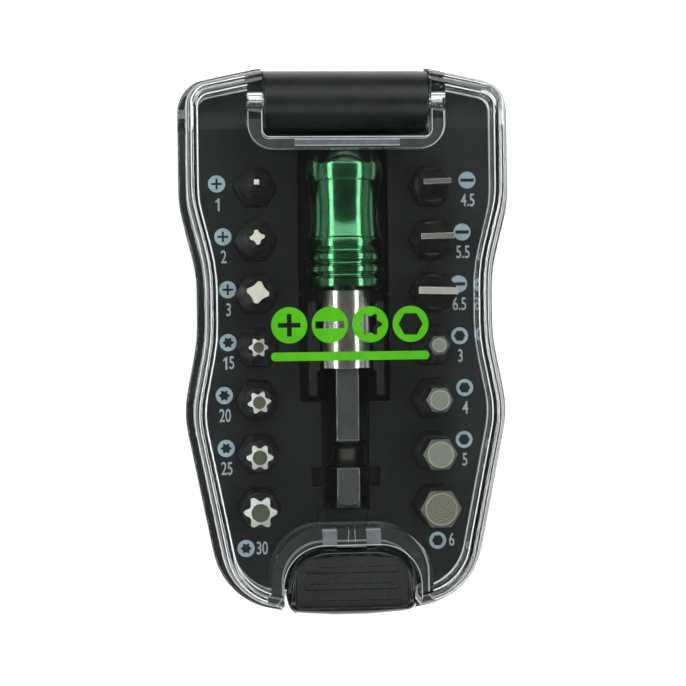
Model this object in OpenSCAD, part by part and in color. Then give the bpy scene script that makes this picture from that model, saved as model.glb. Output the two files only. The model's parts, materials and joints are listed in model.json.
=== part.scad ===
// Pocket bit set: a case with a clear hinged lid, a moulded tray, fourteen 25 mm screwdriver bits
// and a quick-release bit holder that lies in the middle of the tray.
// The case lies on its back: +X to the right, +Y towards the hinge, +Z up through the lid.
// The origin is the middle of the back face's bounding rectangle.

/* [Case] */
// Width across the shoulders, at the hinge end
case_w = 55.5; // [55:0.1:56]
// Length from the hinge end to the latch end
case_l = 92.2; // [92:0.1:92.6]
// Width at the waist
waist_w = 49.8; // [49:0.1:51]
// Width at the hips, below the waist
hip_w = 54.6; // [53:0.1:55]
// Height of the closed case
case_h = 32.5; // [32.4:0.1:32.8]
// Height of the base's rim
rim_z = 20; // [19.8:0.1:20.2]
// Thickness of the base's walls and floor
wall_t = 2; // [1.8:0.1:2.2]

/* [Lid] */
// Thickness of the lid's clear walls
lid_t = 1.8; // [1.6:0.1:2]
// Gap between the lid and the base's rim
lid_gap = 0.25; // [0.2:0.05:0.4]
// How far the upper wall stands in from the lid's foot
lid_step = 1.5; // [1.2:0.1:1.8]

/* [Hinge] */
// Distance of the hinge axis from the middle of the case
hinge_y = 39.8; // [39.6:0.1:40]
// Height of the hinge axis
hinge_z = 27.5; // [27.4:0.1:27.6]
// Radius of the hinge barrel
barrel_r = 5; // [4.8:0.1:5]
// Length of the hinge barrel
barrel_l = 27; // [26.6:0.1:27.2]

/* [Latch] */
// Width of the latch button
latch_w = 21.2; // [21:0.1:21.6]

/* [Tray] */
// Height of the tray's face
tray_z = 19.5; // [19.3:0.1:19.6]
// Distance between neighbouring bits in a column
bit_pitch = 9; // [8.9:0.05:9.1]
// Distance of each column from the middle
column_x = 14.85; // [14.6:0.05:15]
// Across flats of the bit pockets
pocket_af = 6.55; // [6.5:0.05:6.7]

/* [Bits] */
// Across flats of the bit shanks, a quarter inch
bit_af = 6.35; // [6.3:0.05:6.35]
// Overall length of a bit
bit_l = 25; // [24.5:0.1:25.5]
// Depth of a bit in its pocket
bit_sunk = 14.5; // [14:0.1:15]

/* [Holder] */
// Radius of the green sleeve
sleeve_r = 6.55; // [6.5:0.05:6.6]
// Length of the green sleeve
sleeve_l = 24; // [23.8:0.1:24]
// Radius of the steel body
body_r = 4.75; // [4.7:0.05:4.8]
// Forward travel of the sleeve
sleeve_travel = 2; // [1.8:0.1:2]

/* [Hidden] */
eps = 0.01;
round_fn = 64;
arc_step = 7;          // degrees between the points of an outline's arcs
black = [0.10, 0.11, 0.11];
clear = [0.85, 0.90, 0.92, 0.35];
steel = [0.62, 0.62, 0.60];
dark_steel = [0.16, 0.16, 0.15];
green = [0.05, 0.36, 0.16];

// ---- the wavy outline: [x, y, corner radius] down the right side ----
end_y = case_l / 2;
taper = 0.2;           // how fast the hips narrow towards the latch, mm per mm
hip_y = -11.5;
foot_y = -42.9;
right_side = [
    [14, end_y, 12],
    [case_w / 2, end_y - 2.9, 5.6],
    [case_w / 2, 23.1, 20],
    [waist_w / 2, 11.8, 25],
    [waist_w / 2, 0.8, 25],
    [hip_w / 2, hip_y, 18],
    [hip_w / 2 + taper * (foot_y - hip_y), foot_y, 12]
];
bottom_r = 60;
bottom_point = [0, -end_y - 0.79, bottom_r];
left_side = [for (p = right_side) [-p[0], p[1], p[2]]];
function reversed(l) = [for (i = [len(l) - 1:-1:0]) l[i]];
case_points = concat(left_side, [bottom_point], reversed(right_side));

// ---- rounded polygons, drawn anticlockwise, moved in by inset ----
function flat(p) = [p[0], p[1]];
function unit(v) = v / norm(v);
function cross_z(a, b) = a[0] * b[1] - a[1] * b[0];
function turned(v, a) = [v[0] * cos(a) - v[1] * sin(a), v[0] * sin(a) + v[1] * cos(a)];
function outward(d) = [d[1], -d[0]];
function corner_arc(before, here, after, inset) =
    let (
        into = unit(flat(here) - flat(before)),
        out = unit(flat(after) - flat(here)),
        side = cross_z(into, out) < 0 ? -1 : 1,
        bend = acos(min(1, into * out)),
        tip = flat(here) - inset * (outward(into) + outward(out)) / (1 + outward(into) * outward(out)),
        r = max(0.2, here[2] - side * inset),
        first = tip - into * r * tan(bend / 2),
        centre = first - outward(into) * r * side,
        steps = max(1, ceil(bend / arc_step))
    )
    [for (k = [0:steps]) centre + turned(first - centre, side * bend * k / steps)];
function rounded(points, inset = 0) =
    let (n = len(points))
    [for (i = [0:n - 1]) each corner_arc(points[(i + n - 1) % n], points[i], points[(i + 1) % n], inset)];

module plate(low, high, inset) {
    translate([0, 0, low]) linear_extrude(high - low) polygon(rounded(case_points, inset));
}

// Plates in steps that follow a quarter round of radius r, which ends at z: up = 1 above, -1 below
module round_edge(z, inset, r, up) {
    steps = 4;
    for (k = [0:steps - 1]) {
        low = r * sin(90 * k / steps);
        high = r * sin(90 * (k + 1) / steps);
        back = inset + r * (1 - cos(90 * (k + 0.5) / steps));
        if (up > 0) plate(z - r + low - eps, z - r + high, back);
        else plate(z + r - high, z + r - low + eps, back);
    }
}

module block(low, high) {
    translate(low) cube(high - low);
}

module rounded_block(points, low, high) {
    translate([0, 0, low]) linear_extrude(high - low) polygon(rounded(points));
}

// A cylinder along X about the hinge axis
module hinge_round(r, half_l) {
    translate([-half_l, hinge_y, hinge_z]) rotate([0, 90, 0]) cylinder(r = r, h = 2 * half_l, $fn = round_fn);
}

// A cylinder along Y about the holder's axis, from y0 to y1
module along_holder(r, y0, y1, sides = round_fn) {
    translate([0, y0, holder_z]) rotate([-90, 0, 0]) cylinder(r = r, h = y1 - y0, $fn = sides);
}

function hex_r(af) = af / 2 / cos(30);

// ---- derived sizes ----
edge_r = 1.4;          // rounding of the case's long edges
lid_z = rim_z + lid_gap;
shoulder_z = lid_z + 3;
scoop_r = 8.8;         // room in the base for the lid's end to swing through
swing_r = scoop_r - 0.3;
ear_in = barrel_l / 2 + 0.3;
ear_out = ear_in + 2.4;
notch_y = 33.6;        // front of the lid's opening round the barrel
hinge_pin_r = 1.25;
rim_bottom = 28.5;     // foot of the lid's wall in front of the barrel, above the sleeve

latch_gap = 0.6;
latch_half = latch_w / 2;
bay_half = latch_half + 0.25;
bay_y = -41;           // back of the recess in the base for the latch
latch_pin_y = -43.4;
latch_pin_z = 7.2;
latch_foot_r = 2.1;
latch_pin_r = 1;
latch_top = 31.2;
latch_back = -33.9;    // the edge of the button nearest the tray
bezel_y = -33.1;       // the lid's opening round the button
bezel_half = latch_half + latch_gap;
hook_x = 3.6;

holder_z = 21.5;
sleeve_front = 32.6;
sleeve_back = sleeve_front - sleeve_l;
body_front = 31.1;
shank_top = -4.3;      // where the round body meets the hexagonal shank
shank_end = -27.7;
neck = [-21.1, -16.3];
ball_y = 25.4;
ball_r = 1;
ball_out = 3.67;       // distance of the ball's centre from the holder's axis when it locks a bit
ramp = 0.24;           // how far the ball moves out for each millimetre of sleeve travel
land_r = body_r + 0.1;
chamber_r = 5.55;
stop_y = 22.2;         // front face of the ring that the spring pushes against
spring_y = [11.95, 21.55];

bit_low = tray_z - bit_sunk + 0.02;
first_row_y = 26.35;
row_y = [for (i = [0:6]) first_row_y - i * bit_pitch];

// ---- case ----
module base_shell() color(black) {
    difference() {
        union() {
            difference() {
                union() {
                    plate(edge_r, rim_z, 0);
                    round_edge(0, 0, edge_r, -1);
                }
                plate(wall_t, rim_z + 1, wall_t);
                hinge_round(scoop_r, case_w);
            }
            hinge_tower();
            latch_bay_walls();
        }
        block([-bay_half, -60, 4.2], [bay_half, bay_y, rim_z + 1]);
        hinge_round(hinge_pin_r + 0.03, ear_out);
        latch_round(latch_pin_r + 0.03, bay_half + 1.6);
    }
}

// The post that carries the barrel, rising from the base's floor
module hinge_tower() {
    half = barrel_l / 2;
    hinge_round(barrel_r, half);
    block([-half, hinge_y - 4, wall_t - eps], [half, end_y - 1, rim_z - 0.6]);
    block([-half, hinge_y - 3, rim_z - 1], [half, hinge_y + 3, hinge_z]);
}

// The walls inside the base that box in the latch
module latch_bay_walls() {
    intersection() {
        plate(wall_t - eps, rim_z, 0.5);
        difference() {
            block([-bay_half - 1.8, -60, wall_t - eps], [bay_half + 1.8, bay_y + 1.4, rim_z]);
            block([-bay_half, -60, 4.2], [bay_half, bay_y, rim_z + 1]);
        }
    }
}

// A cylinder along X about the latch's pin
module latch_round(r, half_l) {
    translate([-half_l, latch_pin_y, latch_pin_z]) rotate([0, 90, 0])
        cylinder(r = r, h = 2 * half_l, $fn = round_fn);
}

module hinge_pin() color(steel) hinge_round(hinge_pin_r, ear_out - 0.3);

module latch_pin() color(steel) latch_round(latch_pin_r, bay_half + 1.4);

// Outline of the latch button seen from above
latch_points = [
    [-latch_half, -end_y + 1.5, 1.5], [0, -end_y + 0.03, 60], [latch_half, -end_y + 1.5, 1.5],
    [latch_half - 1.2, latch_back, 6.5], [-latch_half + 1.2, latch_back, 6.5]
];

module latch_button() color(black) {
    difference() {
        union() {
            intersection() {
                rounded_block(latch_points, rim_z + 0.5, latch_top);
                latch_side();
            }
            latch_stem();
            for (s = [-1, 1])
                block([s * hook_x - 0.9, latch_back - 1, 26.6], [s * hook_x + 0.9, bezel_y - 0.45, 28.4]);
        }
        latch_round(latch_pin_r + 0.05, latch_half + 1);
        block([-3.2, -60, 4], [3.2, bay_y + 1, latch_pin_z + 2.6]);
        for (y = [-37.6, -40.6]) grip_groove(y);
    }
}

// The button's side view: a flat top that rolls over towards the latch end
module latch_side() {
    translate([-latch_half - 1, 0, 0]) rotate([90, 0, 90]) linear_extrude(latch_w + 2)
        polygon(rounded([
            [-end_y, rim_z + 0.5 - eps, 0.3], [latch_back, rim_z + 0.5 - eps, 0.3],
            [latch_back, latch_top, 1.2], [-42.8, latch_top - 0.9, 3], [-end_y, 25.5, 4]
        ]));
}

// The leg that reaches down into the base, with a round foot on the pin
module latch_stem() {
    stem = latch_foot_r - 0.02;
    latch_round(latch_foot_r, latch_half);
    intersection() {
        block([-latch_half, latch_pin_y - stem, latch_pin_z], [latch_half, latch_pin_y + stem, rim_z + 1]);
        plate(0, case_h, 0.1);
    }
}

module grip_groove(y) {
    half = 7;
    translate([0, y, latch_top - 0.65]) {
        translate([-half, 0, 0]) rotate([0, 90, 0]) cylinder(r = 0.55, h = 2 * half, $fn = 24);
        for (s = [-1, 1]) translate([s * half, 0, 0]) sphere(r = 0.55, $fn = 24);
    }
}

module latch_spring() color(steel) {
    translate([-2.25, latch_pin_y, latch_pin_z]) rotate([0, 90, 0]) coil(1.55, 0.25, 4.5, 6);
}

// ---- lid ----
module lid_cover() color(clear) {
    difference() {
        union() {
            lid_shell();
            lid_walls();
        }
        rounded_block(opening_points(ear_in, notch_y, 1, 60), 10, case_h + 1);
        rounded_block(opening_points(bezel_half, bezel_y, 7, -60), 10, case_h + 1);
        swing_clearance();
        hinge_round(hinge_pin_r + 0.06, ear_out);
        for (s = [-1, 1]) block([s * hook_x - 1.4, bezel_y - 1, 26.2], [s * hook_x + 1.4, bezel_y + 0.9, 29]);
    }
}

// Corners of a slot that runs out of one end of the case, wall lines at half and at edge_y
function opening_points(half, edge_y, r, far_y) =
    far_y > 0
        ? [[-half, edge_y, r], [half, edge_y, r], [half, far_y, 1], [-half, far_y, 1]]
        : [[-half, far_y, 1], [half, far_y, 1], [half, edge_y, r], [-half, edge_y, r]];

module lid_shell() {
    difference() {
        union() {
            plate(lid_z, shoulder_z, 0);
            plate(shoulder_z - eps, case_h - edge_r, lid_step);
            round_edge(case_h, lid_step, edge_r, 1);
            hinge_lobes();
        }
        plate(10, shoulder_z - lid_t + 1, lid_t);
        plate(shoulder_z - lid_t, case_h - lid_t, lid_t + lid_step);
    }
}

// The side walls run on down round the hinge, and fill the scoops in the base
module hinge_lobes() {
    intersection() {
        plate(hinge_z - scoop_r, lid_z + 1, 0);
        hinge_round(swing_r, case_w);
    }
}

// Walls round the two openings, which close the lid against the barrel and the latch
module lid_walls() {
    inside = lid_step + lid_t - 0.6;
    intersection() {
        plate(10, case_h, inside);
        union() {
            rounded_block(opening_points(ear_out, notch_y - 2.2, 4, 60), rim_bottom, case_h - eps);
            for (s = [-1, 1]) hinge_ear(s);
            rounded_block(opening_points(bezel_half + 2.1, bezel_y + 2.8, 8.5, -60),
                lid_z + 0.1, case_h - eps);
        }
    }
}

module hinge_ear(s) {
    middle = s * (ear_in + ear_out) / 2;
    intersection() {
        block([middle - 1.45, notch_y - 0.5, 10], [middle + 1.45, 60, case_h - eps]);
        union() {
            block([-30, notch_y - 1, lid_z], [30, 60, case_h]);
            hinge_round(swing_r, ear_out);
        }
    }
}

// What the lid leaves out behind the hinge so that its end clears the base as it swings down
module swing_clearance() {
    difference() {
        block([-40, hinge_y, 10], [40, 60, hinge_z]);
        hinge_round(swing_r, 41);
    }
}

// ---- tray ----
module tray_insert() color(black) {
    difference() {
        union() {
            tray_body();
            holder_clips();
        }
        for (s = [-1, 1], y = row_y) translate([s * column_x, y, bit_low - 0.02])
            cylinder(r = hex_r(pocket_af), h = tray_z, $fn = 6);
        holder_trough();
    }
    snap_arms();
}

module tray_body() {
    difference() {
        union() {
            plate(tray_z - 2, tray_z, wall_t + 0.15);
            intersection() {
                plate(15, tray_z - 1, wall_t + 0.15);
                block([-40, 33, 14], [40, 60, tray_z]);
            }
            block([-9.6, -31, 12.2], [9.6, hinge_y - 4.2, tray_z - 1]);
            for (s = [-1, 1])
                block([s * column_x - 4.6, row_y[6] - 4.6, wall_t],
                    [s * column_x + 4.6, row_y[0] + 5, tray_z - 1]);
        }
        block([-barrel_l / 2 - 0.2, hinge_y - 4.2, 0], [barrel_l / 2 + 0.2, 60, 40]);
        hinge_round(scoop_r, case_w);
        block([-bay_half - 2, -60, 0], [bay_half + 2, bay_y + 1.6, 40]);
    }
}

// The two small posts on the tray behind the latch
module holder_clips() {
    for (s = [-1, 1]) block([s * 4.2 - 0.7, -31, tray_z - 1], [s * 4.2 + 0.7, -28.6, tray_z + 0.6]);
}

clip_y = [-8.8, 6.8];
module holder_trough() {
    floor_z = 14.3;
    rounded_block([[-7.65, 8, 1], [7.65, 8, 1], [7.65, hinge_y - 4.6, 3.5], [-7.65, hinge_y - 4.6, 3.5]],
        floor_z, 30);
    block([-7.65, -10, 16], [7.65, 8 + eps, 30]);
    block([-3.95, shank_end - 0.6, 18.28], [3.95, -9, 30]);
    block([-3.1, neck[0], 17.4], [3.1, neck[1], 30]);
    block([-5.75, -24.5, 17.6], [5.75, neck[0], 30]);
}

// Springy arms that hold the holder's round body
module snap_arms() {
    for (s = [-1, 1]) scale([s, 1, 1]) {
        block([5, clip_y[0], 15.9], [6.3, clip_y[1], 24]);
        block([4.5, clip_y[0] + 4, 23.25], [5 + eps, clip_y[1] - 4, 24]);
    }
}

// ---- holder ----
module holder_body() color(steel) {
    difference() {
        union() {
            along_holder(body_r, shank_top, body_front);
            along_holder(hex_r(bit_af), shank_end, shank_top + eps, 6);
        }
        hex_end_chamfer();
        neck_groove();
        along_holder(hex_r(6.45), 17.2, body_front + 1, 6);
        along_holder(2.45, 13.9, 17.3);
        difference() {
            along_holder(6, stop_y - 0.62, stop_y + 0.02);
            along_holder(4.4, stop_y - 1, stop_y + 1);
        }
        translate([0, ball_y, holder_z + 2.5]) cylinder(r = ball_r + 0.04, h = 4, $fn = 32);
    }
}

// Leaves a cone of 30 degrees at the end of the shank
module hex_end_chamfer() {
    difference() {
        along_holder(6, shank_end - eps, shank_end + 1.7);
        translate([0, shank_end - eps, holder_z]) rotate([-90, 0, 0])
            cylinder(r1 = 2.8, r2 = 2.8 + 1.72 * tan(30), h = 1.72, $fn = round_fn);
    }
}

// The round groove that a chuck's ball drops into, with sides of 45 degrees
module neck_groove() {
    neck_r = 2.35;
    rise = 1.5;
    translate([0, 0, holder_z]) rotate([-90, 0, 0]) rotate_extrude($fn = round_fn) polygon([
        [neck_r, neck[0] + rise], [neck_r + rise, neck[0]], [6, neck[0]],
        [6, neck[1]], [neck_r + rise, neck[1]], [neck_r, neck[1] - rise]
    ]);
}

// Half section of the sleeve as [radius, distance from its back end]
function groove(y) = [
    [sleeve_r, y - 0.5], [sleeve_r - 0.35, y - 0.3], [sleeve_r - 0.12, y],
    [sleeve_r - 0.35, y + 0.3], [sleeve_r, y + 0.5]
];
waist = [for (k = [0:12]) [sleeve_r - 0.5 * sin(k * 15), 9 + k * 0.775]];

module holder_sleeve() color(green) {
    front_bore = 5.05;
    land = ball_y - sleeve_back;
    ramp_l = sleeve_travel + 0.4;
    outer = concat(
        [[sleeve_r - 0.4, 0], [sleeve_r, 0.4]],
        groove(2.6), groove(4.6), groove(6.7),
        waist,
        [
            [sleeve_r, sleeve_l - 2.6], [sleeve_r - 0.3, sleeve_l - 1.4],
            [sleeve_r - 0.75, sleeve_l - 0.5], [sleeve_r - 1.3, sleeve_l]
        ]
    );
    inner = [
        [front_bore, sleeve_l], [front_bore, land + 3], [land_r, land + 2.8], [land_r, land],
        [land_r + ramp * ramp_l, land - ramp_l], [chamber_r, stop_y - sleeve_back + 0.1],
        [chamber_r, 2.7], [land_r, 2.7], [land_r, 0]
    ];
    translate([0, sleeve_back, holder_z]) rotate([-90, 0, 0])
        rotate_extrude($fn = round_fn) polygon(concat(outer, inner));
}

module ring(r_in, r_out, y0, y1) {
    difference() {
        along_holder(r_out, y0, y1);
        along_holder(r_in, y0 - 1, y1 + 1);
    }
}

module holder_washer() color(steel) ring(body_r + 0.08, chamber_r - 0.1, sleeve_back + 2.8, spring_y[0] - 0.03);

module holder_stop_ring() color(steel) ring(4.42, 5.45, stop_y - 0.6, stop_y);

module holder_spring() color(steel) {
    length = spring_y[1] - spring_y[0];
    translate([0, spring_y[0], holder_z]) rotate([-90, 0, 0]) coil(5.17, 0.27, length, 5.5);
}

module holder_ball() color(steel) translate([0, ball_y, holder_z + ball_out]) sphere(r = ball_r, $fn = 48);

module holder_magnet() color(dark_steel) along_holder(2.44, 13.9, 17);

// A coil spring of round wire standing on z = 0, length long over the wire
module coil(r, wire, length, turns) {
    per_turn = 20;
    sides = 8;
    rings = turns * per_turn;
    rise = length - 2 * wire;
    points = [
        for (i = [0:rings], k = [0:sides - 1])
            let (a = 360 * i / per_turn, b = 360 * k / sides, reach = r + wire * cos(b))
            [reach * cos(a), reach * sin(a), wire + rise * i / rings + wire * sin(b)]
    ];
    faces = concat(
        [[for (k = [0:sides - 1]) k]],
        [for (i = [0:rings - 1], k = [0:sides - 1])
            let (next = (k + 1) % sides)
            [i * sides + k, (i + 1) * sides + k, (i + 1) * sides + next, i * sides + next]],
        [[for (k = [sides - 1:-1:0]) rings * sides + k]]
    );
    polyhedron(points, faces, convexity = 10);
}

// ---- bits ----
hex_part = 15.6;       // length of the full hexagon of a bit
module bit_blank(neck_r, neck_top) {
    intersection() {
        cylinder(r = hex_r(bit_af), h = hex_part + 2.4, $fn = 6);
        translate([0, 0, -eps]) union() {
            cylinder(r1 = 3, r2 = 3.9, h = 0.9, $fn = round_fn);
            translate([0, 0, 0.9 - eps]) cylinder(r = 3.9, h = hex_part - 0.9, $fn = round_fn);
            translate([0, 0, hex_part - eps]) cylinder(r1 = 3.75, r2 = neck_r, h = 2.4, $fn = round_fn);
        }
    }
    translate([0, 0, hex_part]) cylinder(r = neck_r, h = neck_top - hex_part, $fn = round_fn);
}

module place_bit(column, row) {
    translate([column * column_x, row_y[row], bit_low]) children();
}

// A cross-head tip: a cone with four flutes cut up its sides
module bit_cross(shoulder_r, end_r, wing, spin) {
    tip_l = 5.4;
    bit_blank(shoulder_r, bit_l - tip_l);
    rotate([0, 0, spin]) difference() {
        translate([0, 0, bit_l - tip_l - 0.1])
            cylinder(r1 = shoulder_r - 0.06, r2 = end_r, h = tip_l + 0.1, $fn = round_fn);
        for (a = [45:90:315]) rotate([0, 0, a]) translate([wing, 0, bit_l + eps]) flute();
    }
}

// A flute that gets shallower away from the tip
module flute() {
    rotate([0, -24, 0]) translate([0, 0, -12]) linear_extrude(14) polygon([[0, 0], [5, -4.6], [5, 4.6]]);
}

// A six-lobe star: narrow round lobes, joined by round hollows
function star(r) = [
    for (k = [0:59])
        let (a = k * 6, reach = r * (0.68 + 0.32 * pow((1 + cos(6 * a)) / 2, 1.3)))
        [reach * cos(a), reach * sin(a)]
];

module bit_star(size, spin) {
    r = size / 2;
    tip_l = 4.6;
    end_r = 0.555 * r;
    slope_l = 0.8 * (r - end_r);
    bit_blank(min(2.9, r + 0.25), bit_l - tip_l);
    rotate([0, 0, spin]) intersection() {
        translate([0, 0, bit_l - tip_l - eps]) linear_extrude(tip_l + eps) polygon(star(r));
        turned_end(r, end_r, slope_l);
    }
}

// What turning leaves of a bit's tip: a cone from end_r at the end out to r and a little past it
module turned_end(r, end_r, slope_l) {
    past = 0.05;
    low = bit_l - slope_l * (1 + past);
    union() {
        cylinder(r = r + 1, h = low, $fn = round_fn);
        translate([0, 0, low - eps])
            cylinder(r1 = r + past * (r - end_r), r2 = end_r, h = bit_l - low + eps, $fn = round_fn);
    }
}

module bit_slot(width, thick, spin) {
    root = 2.9;
    bit_blank(root, bit_l - 8);
    side = min(width / 2, root - 0.1);
    rotate([0, 0, spin]) intersection() {
        translate([0, 4, 0]) rotate([90, 0, 0]) linear_extrude(8) polygon([
            [-side, 0], [side, 0], [side, bit_l - 6], [width / 2, bit_l - 3],
            [width / 2, bit_l + eps], [-width / 2, bit_l + eps], [-width / 2, bit_l - 3], [-side, bit_l - 6]
        ]);
        translate([4, 0, 0]) rotate([90, 0, -90]) linear_extrude(8) polygon([
            [-root, bit_l - 8.2], [root, bit_l - 8.2], [root, bit_l - 8], [thick / 2, bit_l - 2.2],
            [thick / 2, bit_l], [-thick / 2, bit_l], [-thick / 2, bit_l - 2.2], [-root, bit_l - 8]
        ]);
    }
}

module bit_hex(af) {
    r = hex_r(af);
    bit_blank(min(2.95, r), bit_l - 7.8);
    end_r = af / 2 - 0.38;
    intersection() {
        translate([0, 0, bit_l - 8]) cylinder(r = r, h = 8, $fn = 6);
        turned_end(r, end_r, 0.7 * (r - end_r));
    }
}

module bit_ph1() color(dark_steel) place_bit(-1, 0) bit_cross(2.4, 0.72, 0.5, 0);
module bit_ph2() color(dark_steel) place_bit(-1, 1) bit_cross(2.9, 1.25, 0.6, 9);
module bit_ph3() color(dark_steel) place_bit(-1, 2) bit_cross(3, 1.85, 1.0, -11);
module bit_t15() color(dark_steel) place_bit(-1, 3) bit_star(3.27, 0);
module bit_t20() color(dark_steel) place_bit(-1, 4) bit_star(3.86, 8);
module bit_t25() color(dark_steel) place_bit(-1, 5) bit_star(4.43, 0);
module bit_t30() color(dark_steel) place_bit(-1, 6) bit_star(5.52, 0);
module bit_slot45() color(dark_steel) place_bit(1, 0) bit_slot(4.5, 0.8, 2.5);
module bit_slot55() color(dark_steel) place_bit(1, 1) bit_slot(5.5, 0.9, 1);
module bit_slot65() color(dark_steel) place_bit(1, 2) bit_slot(6.5, 1.15, -1.5);
module bit_hex3() color(dark_steel) place_bit(1, 3) bit_hex(3);
module bit_hex4() color(dark_steel) place_bit(1, 4) bit_hex(4);
module bit_hex5() color(dark_steel) place_bit(1, 5) bit_hex(5);
module bit_hex6() color(dark_steel) place_bit(1, 6) bit_hex(6);

base_shell();
tray_insert();
lid_cover();
hinge_pin();
latch_button();
latch_pin();
latch_spring();
holder_body();
holder_sleeve();
holder_spring();
holder_washer();
holder_stop_ring();
holder_ball();
holder_magnet();
bit_ph1();
bit_ph2();
bit_ph3();
bit_t15();
bit_t20();
bit_t25();
bit_t30();
bit_slot45();
bit_slot55();
bit_slot65();
bit_hex3();
bit_hex4();
bit_hex5();
bit_hex6();
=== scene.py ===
# The looks of the pocket bit set: materials, fine shapes, printing, light and camera.
# Metres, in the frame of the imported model: +X right, +Y to the hinge, +Z up through the lid.
import json
import math
from math import cos, pi, radians, sin, sqrt, tan

import bmesh
import bpy
from mathutils import Matrix, Vector


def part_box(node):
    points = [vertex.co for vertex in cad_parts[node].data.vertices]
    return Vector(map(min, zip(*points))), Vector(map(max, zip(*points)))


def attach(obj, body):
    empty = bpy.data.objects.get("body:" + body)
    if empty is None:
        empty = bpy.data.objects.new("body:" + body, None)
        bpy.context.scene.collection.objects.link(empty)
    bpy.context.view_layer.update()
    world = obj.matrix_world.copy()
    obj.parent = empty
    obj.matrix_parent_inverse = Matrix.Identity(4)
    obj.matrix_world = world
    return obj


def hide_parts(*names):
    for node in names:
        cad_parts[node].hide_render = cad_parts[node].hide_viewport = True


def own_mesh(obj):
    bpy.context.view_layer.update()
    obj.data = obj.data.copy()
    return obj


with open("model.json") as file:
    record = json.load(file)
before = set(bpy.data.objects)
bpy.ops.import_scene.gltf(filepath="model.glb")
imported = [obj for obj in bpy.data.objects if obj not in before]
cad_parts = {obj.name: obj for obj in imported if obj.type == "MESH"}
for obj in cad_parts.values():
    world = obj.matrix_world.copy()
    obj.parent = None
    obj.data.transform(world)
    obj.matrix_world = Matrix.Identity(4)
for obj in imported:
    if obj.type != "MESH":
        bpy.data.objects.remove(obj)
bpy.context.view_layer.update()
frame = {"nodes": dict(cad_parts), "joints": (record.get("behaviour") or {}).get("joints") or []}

MM = 0.001
EPS = 0.01 * MM
nodes = frame["nodes"]

# ---------------------------------------------------------------- sizes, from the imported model
base_low, base_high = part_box("base_shell")
lid_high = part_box("lid_cover")[1]
latch_low, latch_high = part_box("latch_button")
sleeve_low, sleeve_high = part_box("holder_sleeve")
pin_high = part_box("hinge_pin")[1]
ball_low, ball_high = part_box("holder_ball")
stop_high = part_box("holder_stop_ring")[1]
joint = {j["name"]: j for j in frame["joints"]}

CASE_W = base_high.x - base_low.x
END_Y = base_high.y
HINGE = Vector(joint["lid_hinge"]["pos_m"])
BARREL_R = base_high.z - HINGE.z
BARREL_HALF = 13.5 * MM
LID_TOP = lid_high.z
RIM_Z = 20 * MM
LID_GAP = 0.25 * MM
LID_T = 1.8 * MM
LID_STEP = 1.5 * MM
WALL = 2 * MM
TRAY_Z = 19.5 * MM
SCOOP_R = 8.8 * MM
HOOK_X = 3.6 * MM
SPRING_ROOM = 5.55 * MM
OUTSIDE = 60 * MM  # a y or x well clear of the case, for tools that run out of it
EAR_IN = BARREL_HALF + 0.3 * MM
EAR_OUT = EAR_IN + 2.4 * MM


# ---------------------------------------------------------------- outlines
# The right side of the case, hinge end first: x, y, corner radius
RIGHT = [
    (14 * MM, END_Y, 12 * MM),
    (CASE_W / 2, END_Y - 2.9 * MM, 5.6 * MM),
    (CASE_W / 2, 23.1 * MM, 20 * MM),
    (24.9 * MM, 11.8 * MM, 25 * MM),
    (24.9 * MM, 0.8 * MM, 25 * MM),
    (27.3 * MM, -11.5 * MM, 18 * MM),
    (21.02 * MM, -42.9 * MM, 12 * MM),
]
CASE = [(-x, y, r) for x, y, r in RIGHT] + [(0, -END_Y - 0.79 * MM, 60 * MM)] + RIGHT[::-1]


def rounded(points, inset=0.0, step=6):
    """Points of a polygon with rounded corners, anticlockwise, moved in by inset.

    Their number doesn't depend on inset, so loops with different insets can be skinned together.
    """
    out = []
    n = len(points)
    for i in range(n):
        before, here, after = (Vector(points[(i + k) % n][:2]) for k in (-1, 0, 1))
        r0 = points[i][2]
        into, on = (here - before).normalized(), (after - here).normalized()
        side = -1 if into.x * on.y - into.y * on.x < 0 else 1
        bend = math.acos(max(-1, min(1, into.dot(on))))
        n1, n2 = Vector((into.y, -into.x)), Vector((on.y, -on.x))
        tip = here - inset * (n1 + n2) / (1 + n1.dot(n2))
        r = max(0.2 * MM, r0 - side * inset)
        first = tip - into * r * tan(bend / 2)
        centre = first - n1 * r * side
        steps = max(1, math.ceil(math.degrees(bend) / step))
        for k in range(steps + 1):
            out.append(centre + Matrix.Rotation(side * bend * k / steps, 2) @ (first - centre))
    return out


def even(points, spacing):
    """The same closed outline with its long stretches divided, and repeated points left out."""
    out = []
    n = len(points)
    for i in range(n):
        a, b = points[i], points[(i + 1) % n]
        gap = (b - a).length
        if gap < 1e-7:
            continue
        parts = max(1, round(gap / spacing))
        out += [a.lerp(b, k / parts) for k in range(parts)]
    return out


# ---------------------------------------------------------------- mesh helpers
def linked(name, data):
    obj = bpy.data.objects.new(name, data)
    bpy.context.scene.collection.objects.link(obj)
    return obj


def new_object(name, bm, smooth_angle=35):
    mesh = bpy.data.meshes.new(name)
    bmesh.ops.recalc_face_normals(bm, faces=bm.faces)
    bm.to_mesh(mesh)
    bm.free()
    obj = linked(name, mesh)
    smooth(obj, smooth_angle)
    return obj


def smooth(obj, angle=35):
    mesh = obj.data
    mesh.polygons.foreach_set("use_smooth", [True] * len(mesh.polygons))
    mesh.set_sharp_from_angle(angle=radians(angle))
    mesh.update()


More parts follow.
